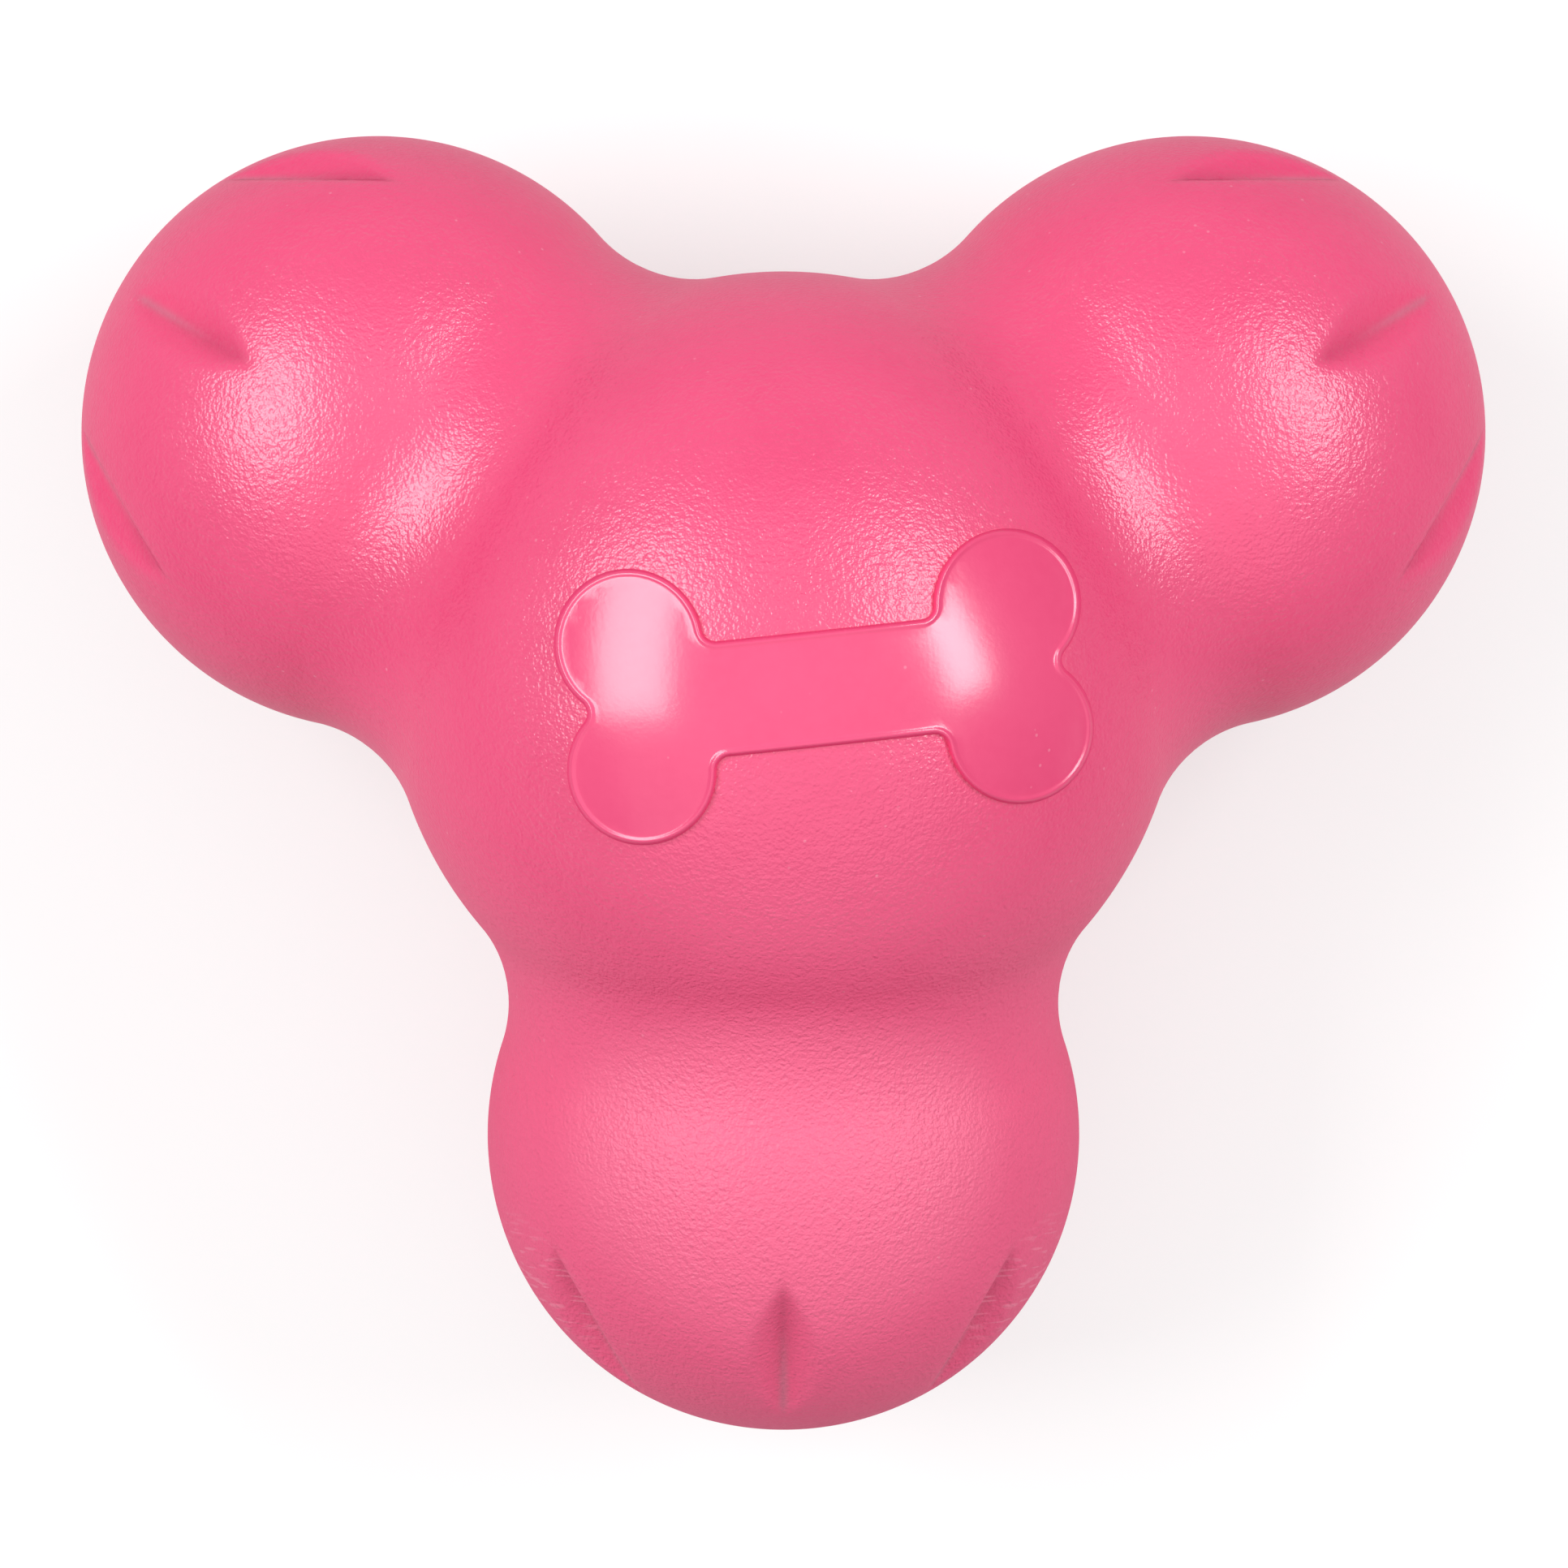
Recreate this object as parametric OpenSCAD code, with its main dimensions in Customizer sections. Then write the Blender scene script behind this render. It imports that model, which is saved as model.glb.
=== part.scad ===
// Rubber chew toy: a round hollow hub with three solid lobes that droop like the feet of a tripod.
// Everything is one rubber moulding. Its regions are modelled as separate solids that meet face to face.
// Origin: middle of the flat lip round the treat mouth. +Z runs up through the closed dome.
// One lobe points along -Y.

/* [Hub] */
// Radius of the round hub
hub_r = 35.5; // [32:0.5:40]
// Thickness of the wall between the hub's surface and the round treat chamber
hub_wall = 11.5; // [9:0.5:14]

/* [Lobes] */
// Radius of each round lobe
lobe_r = 26.8; // [24:0.2:30]
// How far the ball of a lobe would reach into the ball of the hub
lobe_sink = 18.5; // [16:0.5:21]
// Angle of each lobe below the level of the hub's centre, in degrees
lobe_droop = 15; // [10:1:18]
// Radius of the hollow of the neck between hub and lobe
neck_fillet = 15; // [12:0.5:18]
// How far that hollow cuts into hub and lobe, which leaves a faint crease on both sides of it
neck_bite = 0.15; // [0.1:0.05:0.6]

/* [Grooves in the lobe tips] */
// Number of grooves round each lobe's tip
groove_count = 7; // [5:1:9]
// Angle from the lobe's axis at which a groove starts, near the tip, in degrees
groove_start = 38; // [34:1:46]
// Angle from the lobe's axis at which a groove ends, near the lobe's widest ring, in degrees
groove_end = 79; // [70:1:86]
// Opening angle between the two flanks of a groove, in degrees
groove_opening = 128; // [110:1:136]

/* [Treat mouth] */
// How much narrower than the chamber the mouth in the hub's underside is, at each side
mouth_ledge = 5.5; // [4.5:0.5:9]
// Width of the thick ring round the mouth
rim_w = 4; // [3:0.5:5]
// Height of the flat lip above the lowest point of the hub's ball
lip_rise = 2; // [1:0.1:3]
// Width of the slope at both edges of the flat lip
lip_slope = 1; // [0.5:0.1:1.4]

/* [Raised motif on the dome] */
// Length of the bone between the centres of its end knobs
bone_length = 33; // [20:1:34]
// Distance between the centres of the two knobs at one end
bone_spread = 11; // [9:0.5:12]
// Radius of each knob
knob_r = 6.5; // [6:0.25:7.5]
// Width of the shaft
shaft_w = 10; // [7:0.5:11]
// Height of the motif above the dome
motif_relief = 0.7; // [0.5:0.1:1.2]
// Turn of the motif, in degrees
motif_turn = 6; // [-20:1:20]
// Place of the motif's middle across the dome
motif_x = 3.6; // [-5:0.2:5]
// Place of the motif's middle along the dome
motif_y = -1; // [-5:0.2:5]

/* [Hidden] */
$fn = 96;

// Directions of the three lobes, a third of a turn apart
lobe_turns = [270, 30, 150];

// The hub's centre stands above the lip. The mouth opens into the chamber, and the ring goes round it.
hub_z = hub_r - lip_rise;
chamber_r = hub_r - hub_wall;
mouth_r = chamber_r - mouth_ledge;
rim_r = mouth_r + rim_w;

// Distance from the hub's centre to a lobe's
lobe_distance = hub_r + lobe_r - lobe_sink;

// Centre of the neck's hollow in the plane of a lobe's axis: distance along the axis and away from it
hub_reach = hub_r + neck_fillet - neck_bite;
lobe_reach = lobe_r + neck_fillet - neck_bite;
neck_along = (lobe_distance ^ 2 + hub_reach ^ 2 - lobe_reach ^ 2) / (2 * lobe_distance);
neck_away = sqrt(hub_reach ^ 2 - neck_along ^ 2);

// The bottom of a groove is a straight line under the lobe's surface. It is cut a little longer than that.
groove_middle = (groove_start + groove_end) / 2;
groove_half = (groove_end - groove_start) / 2;
valley_r = lobe_r * cos(groove_half);
overrun = lobe_r - valley_r;
groove_length = 2 * lobe_r * sin(groove_half) + 2 * overrun;
groove_rise = 2 * overrun;
groove_side = groove_rise * tan(groove_opening / 2);

// Red, green and blue of the rubber
pink = [0.95, 0.33, 0.52];
deep_pink = [0.90, 0.28, 0.47];
pale_pink = [0.98, 0.42, 0.60];

// Turns a shape whose axis is +Z so that the axis runs from the hub's centre out along a lobe
module along_lobe(turn) {
    translate([0, 0, hub_z])
        rotate([0, 0, turn])
            rotate([0, 90 + lobe_droop, 0])
                children();
}

// Half of the hub's side of a neck, in the plane of the lobe's axis. X is away from the axis, Y along it.
module neck_outline() {
    difference() {
        polygon([[0, neck_bite], [neck_away, neck_along], [0, neck_along]]);
        translate([neck_away, neck_along])
            circle(neck_fillet);
    }
}

// Half of a lobe and of its own side of the neck, in the same plane
module lobe_outline() {
    intersection() {
        translate([0, lobe_distance])
            circle(lobe_r);
        translate([0, neck_along])
            square([lobe_r, lobe_distance + lobe_r]);
    }
    difference() {
        polygon([[0, neck_along], [neck_away, neck_along], [0, lobe_distance]]);
        translate([neck_away, neck_along])
            circle(neck_fillet);
    }
}

// The hub's outer form: a ball, cut flat where the lobes begin, with three necks
module hub_form() {
    difference() {
        translate([0, 0, hub_z])
            sphere(hub_r);
        for (turn = lobe_turns)
            along_lobe(turn)
                translate([0, 0, neck_along])
                    cylinder(r = hub_r, h = hub_r);
    }
    for (turn = lobe_turns)
        along_lobe(turn)
            rotate_extrude()
                neck_outline();
}

module chamber() {
    translate([0, 0, hub_z])
        sphere(chamber_r);
}

// Straight V groove near the tip of a lobe whose axis is +Z
module groove(turn) {
    translate([0, 0, lobe_distance])
        rotate([0, 0, turn])
            rotate([0, groove_middle - 90, 0])
                rotate([0, 0, -90])
                    translate([0, valley_r])
                        linear_extrude(height = groove_length, center = true)
                            polygon([[0, 0], [groove_side, groove_rise], [-groove_side, groove_rise]]);
}

// A lobe with its grooves. One groove faces up.
module lobe(turn) {
    along_lobe(turn)
        difference() {
            rotate_extrude()
                lobe_outline();
            for (k = [0 : groove_count - 1])
                groove(180 + k * 360 / groove_count);
        }
}

// Outline of a plain bone: a shaft with two knobs at each end
module bone_outline() {
    square([bone_length, shaft_w], center = true);
    for (end = [-1, 1])
        for (side = [-1, 1])
            translate([end * bone_length / 2, side * bone_spread / 2])
                circle(knob_r);
}

// The hollow middle of the moulding, round the treat chamber, with its three necks
module hub() {
    color(pink)
        difference() {
            hub_form();
            chamber();
            translate([0, 0, -hub_z])
                cylinder(r = rim_r, h = 2 * hub_z);
        }
}

module lobe_lower() {
    color(pink)
        lobe(lobe_turns[0]);
}

module lobe_right() {
    color(pink)
        lobe(lobe_turns[1]);
}

module lobe_left() {
    color(pink)
        lobe(lobe_turns[2]);
}

// Thick ring of rubber round the mouth, up to the treat chamber, with a flat lip
module mouth_rim() {
    color(deep_pink)
        rotate_extrude()
            difference() {
                polygon([
                    [mouth_r + lip_slope, 0],
                    [rim_r - lip_slope, 0],
                    [rim_r, lip_slope],
                    [rim_r, hub_z],
                    [mouth_r, hub_z],
                    [mouth_r, lip_slope]
                ]);
                translate([0, hub_z])
                    circle(chamber_r);
            }
}

// Low bone-shaped pad on the dome
module dome_motif() {
    color(pale_pink)
        difference() {
            intersection() {
                translate([motif_x, motif_y, hub_z])
                    rotate([0, 0, motif_turn])
                        linear_extrude(height = 2 * hub_r)
                            bone_outline();
                translate([0, 0, hub_z])
                    sphere(hub_r + motif_relief);
            }
            translate([0, 0, hub_z])
                sphere(hub_r);
        }
}

hub();
lobe_lower();
lobe_right();
lobe_left();
mouth_rim();
dome_motif();
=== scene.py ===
# Rubber chew toy: a hollow round hub and three solid lobes with grooved tips, moulded in one piece.
import math

import bmesh
import bpy
from mathutils import Matrix, Vector


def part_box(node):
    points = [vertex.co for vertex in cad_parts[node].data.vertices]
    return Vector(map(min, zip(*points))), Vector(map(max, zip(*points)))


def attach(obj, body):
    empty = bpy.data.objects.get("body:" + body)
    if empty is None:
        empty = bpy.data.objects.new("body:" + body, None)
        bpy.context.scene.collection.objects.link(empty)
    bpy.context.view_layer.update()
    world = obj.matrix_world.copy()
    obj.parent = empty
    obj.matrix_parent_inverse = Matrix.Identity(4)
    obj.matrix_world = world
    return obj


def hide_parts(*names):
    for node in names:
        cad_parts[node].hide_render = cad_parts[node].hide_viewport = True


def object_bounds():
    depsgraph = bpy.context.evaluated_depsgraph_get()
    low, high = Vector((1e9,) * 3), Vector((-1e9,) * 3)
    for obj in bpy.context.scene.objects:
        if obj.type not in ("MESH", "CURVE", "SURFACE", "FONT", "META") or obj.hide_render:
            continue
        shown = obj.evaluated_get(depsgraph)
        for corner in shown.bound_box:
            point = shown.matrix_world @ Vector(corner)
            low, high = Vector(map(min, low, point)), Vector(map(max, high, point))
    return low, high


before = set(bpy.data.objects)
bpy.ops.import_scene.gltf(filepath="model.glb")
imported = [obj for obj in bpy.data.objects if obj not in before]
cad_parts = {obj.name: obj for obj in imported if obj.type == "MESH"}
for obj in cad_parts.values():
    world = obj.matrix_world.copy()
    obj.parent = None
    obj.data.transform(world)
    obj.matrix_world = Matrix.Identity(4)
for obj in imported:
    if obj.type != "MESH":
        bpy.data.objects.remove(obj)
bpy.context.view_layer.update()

MM = 0.001

# Camera
# The photograph looks down on the closed dome from about 0.9 m, from a little above its middle.
# The lower lobe points down in the picture.
photo_side = 1932
pixels_per_mm = 13.78
hub_r = 35.5 * MM
hub_centre = Vector((0, 0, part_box("hub")[1].z - hub_r))
aim = hub_centre + Vector((0.05, -10.28, 0)) * MM
eye = hub_centre + Vector((0, 16.5, 900)) * MM
lens = bpy.data.cameras.new("camera")
lens.sensor_width = 36
lens.lens = lens.sensor_width * pixels_per_mm * (eye - aim).length / MM / photo_side
camera = bpy.data.objects.new("camera", lens)
camera_back = (eye - aim).normalized()
camera_right = Vector((0, 1, 0)).cross(camera_back).normalized()
camera_up = camera_back.cross(camera_right)
camera.rotation_euler = Matrix((camera_right, camera_up, camera_back)).transposed().to_euler()
camera.location = eye
bpy.context.scene.collection.objects.link(camera)
bpy.context.scene.camera = camera
bpy.context.scene.view_settings.view_transform = "Standard"


# Studio
# Two soft boxes stand left and right of the toy, a little behind it, and a wide, dim one hangs above it.
# A pale room fills the rest. The toy rests on a plain white table that keeps its shadow.
class Shade:
    """A socket of a node tree. Numbers and sockets combine with the usual operators."""

    def __init__(self, tree, socket=None):
        self.tree = tree
        self.socket = socket

    def node(self, kind, settings=(), inputs=(), out=0):
        made = self.tree.nodes.new("ShaderNode" + kind)
        for name, value in dict(settings).items():
            setattr(made, name, value)
        for name, value in dict(inputs).items():
            if isinstance(value, Shade):
                self.tree.links.new(value.socket, made.inputs[name])
            else:
                made.inputs[name].default_value = value
        return Shade(self.tree, made.outputs[out])

    def maths(self, operation, *values):
        return self.node("Math", {"operation": operation}, enumerate(values))

    def __add__(self, other):
        return self.maths("ADD", self, other)

    def __radd__(self, other):
        return self.maths("ADD", other, self)

    def __sub__(self, other):
        return self.maths("SUBTRACT", self, other)

    def __rsub__(self, other):
        return self.maths("SUBTRACT", other, self)

    def __mul__(self, other):
        return self.maths("MULTIPLY", self, other)

    def __rmul__(self, other):
        return self.maths("MULTIPLY", other, self)

    def between(self, low, high):
        """0 up to low, 1 from high on, and a soft step in between."""
        steps = {"interpolation_type": "SMOOTHSTEP"}
        return self.node("MapRange", steps, {0: self, 1: low, 2: high})

    def blend(self, first, second):
        """The first colour where this is 0, and the second where it is 1."""
        return self.node("Mix", {"data_type": "RGBA"}, {0: self, 6: first, 7: second}, out=2)

    def finish(self, shader, kind="Material"):
        output = self.tree.nodes.new("ShaderNodeOutput" + kind)
        self.tree.links.new(shader.socket, output.inputs["Surface"])


def node_tree(owner):
    owner.use_nodes = True
    owner.node_tree.nodes.clear()
    return Shade(owner.node_tree)


def seen_directly(shade):
    """1 for what the camera sees, straight, in a reflection or through glass."""
    rays = [shade.node("LightPath", out=name) for name in
            ("Is Camera Ray", "Is Glossy Ray", "Is Transmission Ray")]
    return shade.maths("MAXIMUM", shade.maths("MAXIMUM", rays[0], rays[1]), rays[2])


room_level = 0.20
room_seen = 0.45
room = bpy.data.worlds.new("room")
bpy.context.scene.world = room
shade = node_tree(room)
strength = room_level + seen_directly(shade) * (room_seen - room_level)
shade.finish(shade.node("Background", inputs={"Color": (1, 1, 1, 1), "Strength": strength}), "World")

table_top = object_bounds()[0].z
table_size = 3.0
table_mesh = bmesh.new()
bmesh.ops.create_grid(table_mesh, x_segments=1, y_segments=1, size=table_size / 2)
bmesh.ops.translate(table_mesh, verts=table_mesh.verts, vec=(0, 0, table_top))
table_data = bpy.data.meshes.new("table")
table_mesh.to_mesh(table_data)
table_mesh.free()
table = bpy.data.objects.new("table", table_data)
bpy.context.scene.collection.objects.link(table)

# The paper throws back only half of the light, so the toy's sides get dark towards the table, as in the
# photograph. A glow that only direct rays see makes it white.
paper_albedo = 0.50
paper_glow = 0.52
paper = bpy.data.materials.new("white_paper")
shade = node_tree(paper)
matt = shade.node("BsdfDiffuse", inputs={"Color": (paper_albedo, paper_albedo, paper_albedo, 1)})
glow = shade.node("Emission", inputs={"Color": (1, 1, 1, 1), "Strength": seen_directly(shade) * paper_glow})
shade.finish(shade.node("AddShader", inputs={0: matt, 1: glow}))
table_data.materials.append(paper)

# Each soft box: direction of its middle from the hub, direction of its long side, width, length, radiance
soft_boxes = {
    "soft_box_left": ((-0.67, 0.17, 0.72), (0, 1, 0), 0.60, 1.18, 6.4),
    "soft_box_right": ((0.70, 0.24, 0.67), (-0.467, 0.876, 0.12), 0.36, 1.12, 8.8),
    "soft_box_above": ((0.05, -0.18, 0.98), (0, 0.98, 0.18), 3.60, 3.80, 0.47),
}
soft_box_distance = 1.5
for name, (towards, along, width, length, radiance) in soft_boxes.items():
    lamp = bpy.data.lights.new(name, "AREA")
    lamp.shape = "RECTANGLE"
    lamp.size = width
    lamp.size_y = length
    lamp.energy = radiance * math.pi * width * length
    lamp_object = bpy.data.objects.new(name, lamp)
    back = Vector(towards).normalized()
    side = Vector(along).cross(back).normalized()
    lamp_object.rotation_euler = Matrix((side, back.cross(side), back)).transposed().to_euler()
    lamp_object.location = hub_centre + back * soft_box_distance
    bpy.context.scene.collection.objects.link(lamp_object)


# Hub
# The hollow middle of the moulding: a ball of rubber with a thick wall round the treat chamber.
# It comes out of the mould in one piece with its three necks, which end where the lobes begin.
hub_wall = 11.5 * MM
chamber_r = hub_r - hub_wall
mouth_ledge = 5.5 * MM
mouth_r = chamber_r - mouth_ledge
collar_wall = 4 * MM
collar_r = mouth_r + collar_wall
lobe_r = 26.8 * MM
lobe_sink = 18.5 * MM
lobe_distance = hub_r + lobe_r - lobe_sink
lobe_droop = math.radians(15)
lobe_turns = {"lobe_lower": 270, "lobe_right": 30, "lobe_left": 150}

# The hollow of a neck touches the hub's ball and the lobe's ball. Its centre is given along a lobe's axis
# and away from it.
hollow_r = 14.85 * MM
hub_reach = hub_r + hollow_r
lobe_reach = lobe_r + hollow_r
neck_along = (lobe_distance ** 2 + hub_reach ** 2 - lobe_reach ** 2) / (2 * lobe_distance)
neck_away = math.sqrt(hub_reach ** 2 - neck_along ** 2)
neck_r = neck_away - hollow_r

hub_steps = 96
hub_rings = 150
inner_spacing = 1.2 * MM
merge_distance = 0.0004 * MM
cove_width = 1.0 * MM
cove_drop = 0.5 * MM


def hollow_at(reach, turn):
    """How far a neck's hollow is from a ball's centre, at an angle from the hollow's own centre."""
    return reach * math.cos(turn) - math.sqrt(hollow_r ** 2 - (reach * math.sin(turn)) ** 2)


def lobe_place(turn):
    """Turns a shape made round +Z at the hub's centre so that it points along a lobe."""
    level = Matrix.Rotation(math.radians(turn), 4, "Z")
    droop = Matrix.Rotation(math.pi / 2 + lobe_droop, 4, "Y")
    return Matrix.Translation(hub_centre) @ level @ droop


def lobe_axis(turn):
    return lobe_place(turn).to_3x3() @ Vector((0, 0, 1))


hub_hollow = math.atan2(neck_away, neck_along)
hub_hollow_end = math.radians(35)


def hub_surface(direction):
    """Distance from the hub's centre to its surface, with the hollow of the neck that points along +X."""
    off = direction.angle(lobe_axis(0))
    if off >= hub_hollow:
        return hub_r
    return hollow_at(hub_reach, hub_hollow - max(off, hub_hollow_end))


def from_below(rise, azimuth):
    """Direction at an angle up from straight down."""
    flat = math.sin(rise)
    return Vector((flat * math.cos(azimuth), flat * math.sin(azimuth), -math.cos(rise)))


def collar_rise(azimuth):
    """Angle from straight down at which the hub's surface meets the collar round the mouth."""
    low = math.radians(20)
    high = math.radians(60)
    for halving in range(40):
        middle = (low + high) / 2
        if hub_surface(from_below(middle, azimuth)) * math.sin(middle) < collar_r:
            low = middle
        else:
            high = middle
    return high


def spun(points, steps, sector=2 * math.pi):
    """A skin from a chain of (distance from the axis, height) points, turned round +Z."""
    skin = bmesh.new()
    chain = [skin.verts.new((x, 0, z)) for x, z in points]
    for first, second in zip(chain, chain[1:]):
        skin.edges.new((first, second))
    bmesh.ops.rotate(skin, verts=skin.verts, cent=(0, 0, 0), matrix=Matrix.Rotation(-sector / 2, 3, "Z"))
    bmesh.ops.spin(skin, geom=skin.verts[:] + skin.edges[:], axis=(0, 0, 1), cent=(0, 0, 0),
                   angle=sector, steps=steps, use_merge=sector > 6)
    bmesh.ops.remove_doubles(skin, verts=skin.verts, dist=merge_distance)
    return skin


def repeated(skin, count):
    """Copies a sector round +Z until it closes on itself."""
    bmesh.ops.spin(skin, geom=skin.verts[:] + skin.edges[:] + skin.faces[:], axis=(0, 0, 1), cent=(0, 0, 0),
                   angle=2 * math.pi * (count - 1) / count, steps=count - 1, use_duplicate=True)
    bmesh.ops.remove_doubles(skin, verts=skin.verts, dist=merge_distance)


def piece(name, skin, node, material, radial=None):
    """Makes an object of a skin, smooth but for its sharp edges, that stands for a CAD node."""
    bmesh.ops.recalc_face_normals(skin, faces=skin.faces)
    for face in skin.faces:
        face.smooth = True
    for edge in skin.edges:
        edge.smooth = edge.is_manifold and edge.calc_face_angle(0) < math.radians(40)
    data = bpy.data.meshes.new(name)
    skin.to_mesh(data)
    skin.free()
    if radial:
        data.normals_split_custom_set_from_vertices([radial(vert.co) for vert in data.vertices])
    data.materials.append(material)
    made = bpy.data.objects.new(name, data)
    bpy.context.scene.collection.objects.link(made)
    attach(made, "root")
    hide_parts(node)
    return made


def neck_normal(axis):
    """Gives the points of the circle where hub and lobe meet one shared normal, so that no seam shows."""
    def at(point):
        offset = point - hub_centre
        outwards = offset - axis * offset.dot(axis)
        on_circle = abs(offset.dot(axis) - neck_along) < 1e-6 and outwards.length > neck_r - 1e-5
        return outwards.normalized() if on_circle else None
    return at


def shared_normal(axes):
    rules = [neck_normal(axis) for axis in axes]
    def at(point):
        found = [normal for normal in (rule(point) for rule in rules) if normal]
        return found[0] if found else (0, 0, 0)
    return at


rose = (0.845, 0.064, 0.196, 1)
bright_rose = (0.868, 0.074, 0.210, 1)
grain_rose = (0.89, 0.085, 0.225, 1)
dust_pink = (0.95, 0.45, 0.55, 1)
# A pale pink that is partly wear and partly a painted sheen on the lower lobe
wear_and_sheen_pink = (0.88, 0.16, 0.29, 1)
# A dark red of painted shade, laid into the inner half of each groove
painted_shade_red = (0.42, 0.035, 0.10, 1)
crease_grey = (0.52, 0.20, 0.27, 1)
scratch_pink = (0.95, 0.32, 0.44, 1)
wear_and_sheen_from = -8 * MM
wear_and_sheen_fully = -38 * MM
scratch_middle = (21 * MM, 55 * MM, 30 * MM)
scratch_turn = 0.6
scratch_core = 3 * MM
scratch_reach = 9 * MM
peel_depth = 0.11 * MM


def rubber(name, roughness, peel, sheen=1.0):
    """Pink rubber with a fine orange-peel skin and pale specks of dust. Its gloss is worn off in places."""
    made = bpy.data.materials.new(name)
    shade = node_tree(made)
    place = shade.node("TexCoord", out="Object")

    def noise(scale, detail=2.0, rough=0.5, at=place):
        inputs = {"Vector": at, "Scale": scale, "Detail": detail, "Roughness": rough}
        return shade.node("TexNoise", inputs=inputs)

    def layer(attribute):
        return shade.node("Attribute", {"attribute_name": attribute}, out="Fac")

    specks = shade.node("TexVoronoi", inputs={"Vector": place, "Scale": 520.0, "Randomness": 1.0})
    dots = 1 - specks.between(0.04, 0.10)
    rare = noise(170).between(0.52, 0.60)
    colour = noise(60).between(0.35, 0.65).blend(rose, bright_rose)
    colour = (noise(900).between(0.3, 0.7) * 0.25).blend(colour, grain_rose)
    colour = (dots * rare * 0.30).blend(colour, dust_pink)

    # The lower lobe is worn matt. Its paler colour is partly wear and partly a painted sheen.
    along = shade.node("SeparateXYZ", inputs={0: place}, out=1)
    wear_and_sheen = 1 - along.between(wear_and_sheen_fully, wear_and_sheen_from)
    colour = (wear_and_sheen * 0.40 * peel).blend(colour, wear_and_sheen_pink)

    # The inner half of a groove is darkened by painted shade, and the outer half has a greyish line along its
    # valley.
    colour = (layer("painted_groove_shade") * 0.34).blend(colour, painted_shade_red)
    colour = (layer("crease") * 0.50).blend(colour, crease_grey)

    # Teeth have left two patches of fine pale scratches, left and right of the lower lobe's tip.
    mirrored = shade.node("VectorMath", {"operation": "ABSOLUTE"}, {0: place})
    patch = shade.node("VectorMath", {"operation": "DISTANCE"}, {0: mirrored, 1: scratch_middle}, out="Value")
    turned = shade.node("Mapping", inputs={0: mirrored, "Rotation": (0, 0, scratch_turn), "Scale": (1, 9, 1)})
    hairs = noise(260.0, 1.0, at=turned).between(0.56, 0.66)
    scratched = hairs * (1 - patch.between(scratch_core, scratch_reach))
    colour = (scratched * 0.40).blend(colour, scratch_pink)

    # The orange peel is deeper where the skin is worn. The gloss is weaker in the grooves and where the skin
    # is seen at a flat angle.
    rough = roughness + wear_and_sheen * 0.25 * peel + noise(240) * 0.04 * peel
    height = (noise(2700, 1.0, 0.6) + noise(900, 1.0) * 0.5) * (1 + wear_and_sheen * 0.6)
    bump = shade.node("Bump", inputs={"Strength": 1.0, "Distance": peel_depth * peel, "Height": height})
    facing = shade.node("LayerWeight", inputs={"Blend": 0.5}, out="Facing")
    dull = shade.maths("MAXIMUM", facing.between(0.15, 0.42) * 0.55, layer("groove") * 0.62)
    surface = {"Base Color": colour, "Roughness": rough, "Normal": bump}
    glossy = shade.node("BsdfPrincipled", inputs=surface | {"Specular IOR Level": sheen})
    matt = shade.node("BsdfPrincipled", inputs=surface | {"Specular IOR Level": 0.0})
    shade.finish(shade.node("MixShader", inputs={0: dull, 1: glossy, 2: matt}))
    return made


# The skin's roughness stays over 0.275 and the pad's under it, because the denoiser draws an edge where
# one surface crosses that value.
skin_rubber = rubber("pink_rubber", roughness=0.28, peel=1.0)

start = math.asin(collar_r / hub_r)
shares = [0.3 * k / hub_rings + 0.7 * (k / hub_rings) ** 2 for k in range(hub_rings, -1, -1)]
outside = []
for share in shares:
    rise = start + share * (math.pi - start)
    outside.append((hub_r * math.sin(rise) if share < 1 else 0, hub_centre.z - hub_r * math.cos(rise)))
wall_top = hub_centre.z - math.sqrt(chamber_r ** 2 - collar_r ** 2)
wall_bottom = outside[-1][1]
wall_count = round((wall_top - wall_bottom) / inner_spacing)
inside = [(collar_r, wall_bottom + (wall_top - wall_bottom) * k / wall_count) for k in range(1, wall_count)]
inner_start = math.asin(collar_r / chamber_r)
inner_count = round((math.pi - inner_start) * chamber_r / inner_spacing)
for k in range(inner_count + 1):
    rise = inner_start + (math.pi - inner_start) * k / inner_count
    flat = chamber_r * math.sin(rise) if k < inner_count else 0
    inside.append((flat, hub_centre.z - chamber_r * math.cos(rise)))

# A third of the hub is shaped round one neck, and copied for the others.
third = 2 * math.pi / len(lobe_turns)
skin = spun(outside + inside, hub_steps, third)
lowest = {}
for vert in skin.verts:
    offset = vert.co - hub_centre
    if offset.length < hub_r - 1e-6:
        continue
    azimuth = math.atan2(offset.y, offset.x)
    step = round(azimuth / third * hub_steps)
    if step not in lowest:
        lowest[step] = collar_rise(azimuth)
    share = (math.acos(max(-1, min(1, -offset.z / hub_r))) - start) / (math.pi - start)
    rise = lowest[step] + share * (math.pi - lowest[step])
    direction = from_below(rise, azimuth)
    vert.co = hub_centre + direction * hub_surface(direction)
    near = 1 - (vert.co.xy.length - collar_r) / cove_width
    if near > 0 and vert.co.z < hub_centre.z:
        vert.co.z -= cove_drop * near ** 2
neck_middle = hub_centre + lobe_axis(0) * neck_along
cut = bmesh.ops.bisect_plane(skin, geom=skin.verts[:] + skin.edges[:] + skin.faces[:], dist=1e-8,
                             plane_co=neck_middle, plane_no=lobe_axis(0), clear_outer=True)
ring = [edge for edge in cut["geom_cut"] if isinstance(edge, bmesh.types.BMEdge)]
for vert in {vert for edge in ring for vert in edge.verts}:
    vert.co = neck_middle + (vert.co - neck_middle).normalized() * neck_r
bmesh.ops.edgeloop_fill(skin, edges=ring)
repeated(skin, len(lobe_turns))
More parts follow.
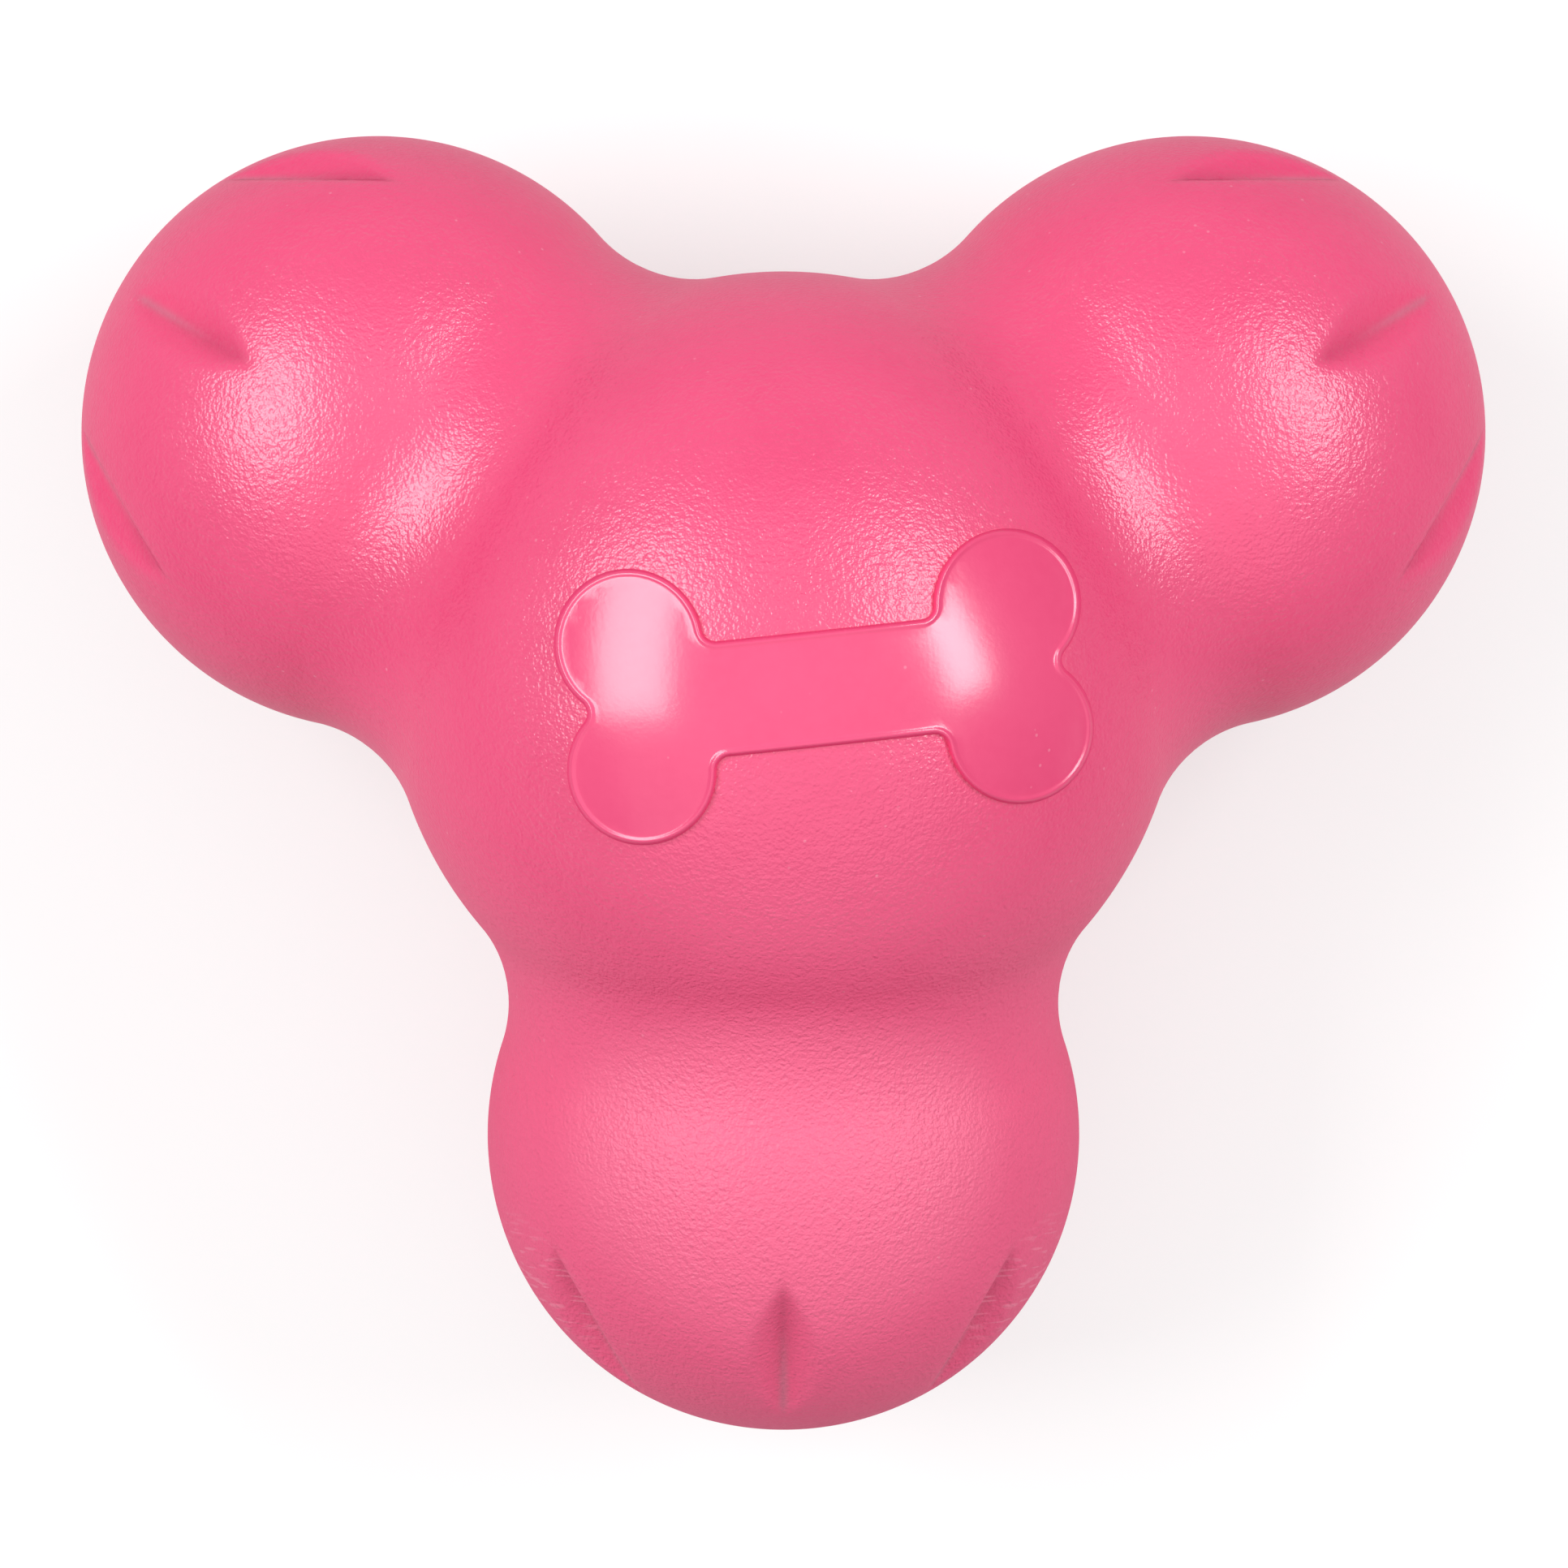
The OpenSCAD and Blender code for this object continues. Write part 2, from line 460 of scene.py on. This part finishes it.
first_turn = Matrix.Rotation(math.radians(lobe_turns["lobe_lower"]), 3, "Z")
bmesh.ops.rotate(skin, verts=skin.verts, cent=(0, 0, 0), matrix=first_turn)
axes = [lobe_axis(turn) for turn in lobe_turns.values()]

# Two nicks were left at the hub's widest line where the flash was trimmed off.
nicks = (((-30.9, -17.0), 0.22), ((-28.6, -20.7), 0.18))
nick_width = 0.8 * MM
mark_reach = 3 * MM
for nick, depth in nicks:
    place = hub_centre + Vector((*nick, 0)) * MM
    for vert in skin.verts:
        far = (vert.co - place).length
        if far < mark_reach:
            outwards = (vert.co - hub_centre).normalized()
            vert.co -= outwards * depth * MM * math.exp(-(far / nick_width) ** 2)
piece("hub_skin", skin, "hub", skin_rubber, shared_normal(axes))

# Lobes
# Three solid balls of the same rubber, one on each neck, that droop below the hub and carry the toy.
# Seven V grooves are moulded into each tip, so that teeth find a hold. The neck has no edge on either side.
groove_count = 7
groove_start = math.radians(38)
groove_end = math.radians(79)
groove_opening = math.radians(128)
# How far the valley and the upper edges of a groove are rounded
groove_valley = 0.20 * MM
groove_edge = 0.25 * MM
# Depth at which a groove's skin is at its dullest, where its inner half begins, and how wide the marks along
# its valley are
groove_dull_depth = 0.5 * MM
inner_half_start = math.radians(50)
inner_half_blend = math.radians(16)
painted_shade_width = 1.1 * MM
crease_width = 0.45 * MM
lobe_steps = 48
lobe_rings = 140
crowding = 0.3
groove_middle = (groove_start + groove_end) / 2
valley_r = lobe_r * math.cos((groove_end - groove_start) / 2)
lobe_hollow = math.pi / 2 + math.atan2(lobe_distance - neck_along, neck_away)
lobe_end = math.pi / 2 + math.atan2(lobe_distance - neck_along, neck_r)


def lobe_surface(off, turn):
    """Distance from a lobe's centre to its surface. The turn is counted from the nearest groove."""
    if off > lobe_hollow:
        return hollow_at(lobe_reach, off - lobe_hollow)
    facing = (math.sin(off) * math.cos(turn) * math.sin(groove_middle)
              + math.cos(off) * math.cos(groove_middle))
    across = math.hypot(math.sin(off) * math.sin(turn), groove_valley / lobe_r)
    share = facing - across / math.tan(groove_opening / 2)
    if share < 0.5:
        return lobe_r
    gap = valley_r / share - lobe_r
    return lobe_r + (gap - math.hypot(gap, groove_edge)) / 2


outline = []
for k in range(lobe_rings + 1):
    off = lobe_end * (1 - k / lobe_rings)
    far = hollow_at(lobe_reach, off - lobe_hollow) if off > lobe_hollow else lobe_r
    outline.append((far * math.sin(off) if k < lobe_rings else 0, lobe_distance + far * math.cos(off)))

# One sector holds one groove. Its lines crowd together towards the groove's valley.
sector = 2 * math.pi / groove_count
form = spun(outline, lobe_steps, sector)
groove = form.verts.layers.float.new("groove")
painted_groove_shade = form.verts.layers.float.new("painted_groove_shade")
crease = form.verts.layers.float.new("crease")
for vert in form.verts:
    offset = vert.co - Vector((0, 0, lobe_distance))
    off = offset.angle(Vector((0, 0, 1)))
    side = math.atan2(offset.y, offset.x) / (sector / 2)
    turn = (crowding * side + (1 - crowding) * side ** 3) * sector / 2
    far = lobe_surface(off, turn)
    flat = far * math.sin(off)
    vert.co = (flat * math.cos(turn), flat * math.sin(turn), lobe_distance + far * math.cos(off))
    if off < lobe_hollow:
        deep = min(1, max(0, (lobe_r - far) / groove_dull_depth))
        inner_half = min(1, max(0, (off - inner_half_start) / inner_half_blend))
        across = flat * math.sin(turn)
        vert[groove] = deep
        # Painted shade in the groove's inner half, strongest along its valley
        vert[painted_groove_shade] = deep * inner_half * math.exp(-(across / painted_shade_width) ** 2)
        vert[crease] = deep * (1 - inner_half) * math.exp(-(across / crease_width) ** 2)
repeated(form, groove_count)
bmesh.ops.rotate(form, verts=form.verts, cent=(0, 0, 0), matrix=Matrix.Rotation(math.pi, 3, "Z"))
bmesh.ops.edgeloop_fill(form, edges=[edge for edge in form.edges if edge.is_boundary])

# A nub of rubber was left at the lower lobe's outermost point, where the mould was filled. It stands in
# a shallow dent.
dent_depth = 0.2 * MM
dent_width = 1.7 * MM
nub_width = 0.7 * MM
nub = Vector((-0.5 * MM, -(lobe_distance * math.cos(lobe_droop) + lobe_r), 0))
nub.z = hub_centre.z - lobe_distance * math.sin(lobe_droop)
for node, turn in lobe_turns.items():
    skin = form.copy()
    bmesh.ops.transform(skin, matrix=lobe_place(turn), verts=skin.verts)
    if node == "lobe_lower":
        for vert in skin.verts:
            far = (vert.co - nub).length
            if far < mark_reach:
                dent = math.exp(-(far / dent_width) ** 4) - math.exp(-(far / nub_width) ** 4)
                vert.co.y += dent_depth * dent
    piece(node + "_skin", skin, node, skin_rubber, shared_normal([lobe_axis(turn)]))
form.free()

# Collar
# The thick ring of rubber round the treat mouth in the underside, moulded with the hub.
# Its edges are rounded. The toy stands on its lobes, so the ring's flat lip is clear of the table.
lip_round = 1.0 * MM
bore_top = hub_centre.z - math.sqrt(chamber_r ** 2 - mouth_r ** 2)
arc_count = 8
bore_rise = math.asin(mouth_r / chamber_r)
arc = []
for k in range(arc_count + 1):
    rise = bore_rise + (inner_start - bore_rise) * k / arc_count
    arc.append((chamber_r * math.sin(rise), hub_centre.z - chamber_r * math.cos(rise)))
skin = spun([(mouth_r, 0)] + arc + [(collar_r, 0), (mouth_r, 0)], 192)
corners = [(mouth_r, 0), (collar_r, 0), (mouth_r, bore_top)]


def at_corner(vert):
    return any(math.hypot(vert.co.xy.length - x, vert.co.z - z) < 1e-6 for x, z in corners)


rims = [edge for edge in skin.edges if all(at_corner(vert) for vert in edge.verts)
        and abs(edge.verts[0].co.z - edge.verts[1].co.z) < 1e-6
        and abs(edge.verts[0].co.xy.length - edge.verts[1].co.xy.length) < 1e-6]
bmesh.ops.recalc_face_normals(skin, faces=skin.faces)
bmesh.ops.bevel(skin, geom=rims, offset=lip_round, offset_type="OFFSET", segments=6, profile=0.5,
                affect="EDGES", material=-1, clamp_overlap=True)
piece("mouth_collar", skin, "mouth_rim", skin_rubber)

# Raised figure
# A low pad in the shape of a plain bone on the dome, where such toys carry a raised figure.
# It is moulded with the hub, but the mould is polished there, so the pad is smoother than the skin.
bone_length = 33 * MM
bone_spread = 11 * MM
knob_r = 6.5 * MM
shaft_w = 10 * MM
pad_turn = math.radians(6)
pad_middle = Vector((3.6, -1.0, 0)) * MM
pad_foot = -0.4 * MM
pad_level = 0.48 * MM
corner_r = 1.2 * MM
# Steps from the pad's outline over its rim to its top: width, and height above the hub's ball, in mm
pad_steps = ((0.02, -0.03), (0.06, 0.19), (0.07, 0.37), (0.08, 0.52), (0.09, 0.61), (0.10, 0.64),
             (0.10, 0.61), (0.10, 0.55), (0.11, 0.50), (0.12, 0.48))


def arc_points(centre, radius, first, last, count):
    """Points along an arc, from one angle to another."""
    angles = [first + (last - first) * k / count for k in range(count + 1)]
    return [(centre[0] + radius * math.cos(a), centre[1] + radius * math.sin(a)) for a in angles]


# Quarter of the outline, from the middle of the shaft's side round a knob to the notch at the end.
knob = (bone_length / 2, bone_spread / 2)
shaft_corner_y = shaft_w / 2 + corner_r
shaft_corner_x = knob[0] - math.sqrt((knob_r + corner_r) ** 2 - (shaft_corner_y - knob[1]) ** 2)
shaft_meet = math.atan2(shaft_corner_y - knob[1], shaft_corner_x - knob[0])
notch_x = knob[0] + math.sqrt((knob_r + corner_r) ** 2 - knob[1] ** 2)
notch_meet = math.atan2(-knob[1], notch_x - knob[0])
quarter = [(shaft_corner_x * k / 12, shaft_w / 2) for k in range(12)]
quarter += arc_points((shaft_corner_x, shaft_corner_y), corner_r, -math.pi / 2, shaft_meet - math.pi, 8)
quarter += arc_points(knob, knob_r, shaft_meet, notch_meet, 48)[1:]
quarter += arc_points((notch_x, 0), corner_r, notch_meet + math.pi, math.pi, 6)[1:]
half = quarter + [(x, -y) for x, y in reversed(quarter[1:-1])]
whole = half + [(-x, y) for x, y in reversed(half)][1:]

pad = bmesh.new()
inner = pad.faces.new([pad.verts.new((x, y, pad_foot)) for x, y in whole])
for step_in, level in pad_steps:
    bmesh.ops.inset_region(pad, faces=[inner], thickness=step_in * MM, use_boundary=True,
                           use_even_offset=True)
    for vert in inner.verts:
        vert.co.z = level * MM

# The flat top is cut into a grid, so that it can follow the dome.
grid = 1.0 * MM


def on_top(face):
    return all(abs(vert.co.z - pad_level) < 1e-9 for vert in face.verts)


for axis, count in ((Vector((1, 0, 0)), 24), (Vector((0, 1, 0)), 12)):
    for k in range(-count, count + 1):
        flat_faces = [face for face in pad.faces if on_top(face)]
        geom = flat_faces + list({edge for face in flat_faces for edge in face.edges})
        geom += list({vert for face in flat_faces for vert in face.verts})
        bmesh.ops.bisect_plane(pad, geom=geom, dist=1e-7, plane_co=axis * (k + 0.5) * grid, plane_no=axis)
below = bmesh.ops.duplicate(pad, geom=pad.verts[:] + pad.edges[:] + pad.faces[:])["geom"]
for item in below:
    if isinstance(item, bmesh.types.BMVert):
        item.co.z = pad_foot
bmesh.ops.remove_doubles(pad, verts=pad.verts, dist=1e-7)
bmesh.ops.rotate(pad, verts=pad.verts, cent=(0, 0, 0), matrix=Matrix.Rotation(pad_turn, 3, "Z"))
bmesh.ops.translate(pad, verts=pad.verts, vec=pad_middle)
for vert in pad.verts:
    far = hub_r + vert.co.z
    vert.co.z = hub_centre.z + math.sqrt(far ** 2 - vert.co.xy.length ** 2)
smooth_rubber = rubber("polished_rubber", roughness=0.20, peel=0.06, sheen=0.8)
piece("bone_pad", pad, "dome_motif", smooth_rubber)
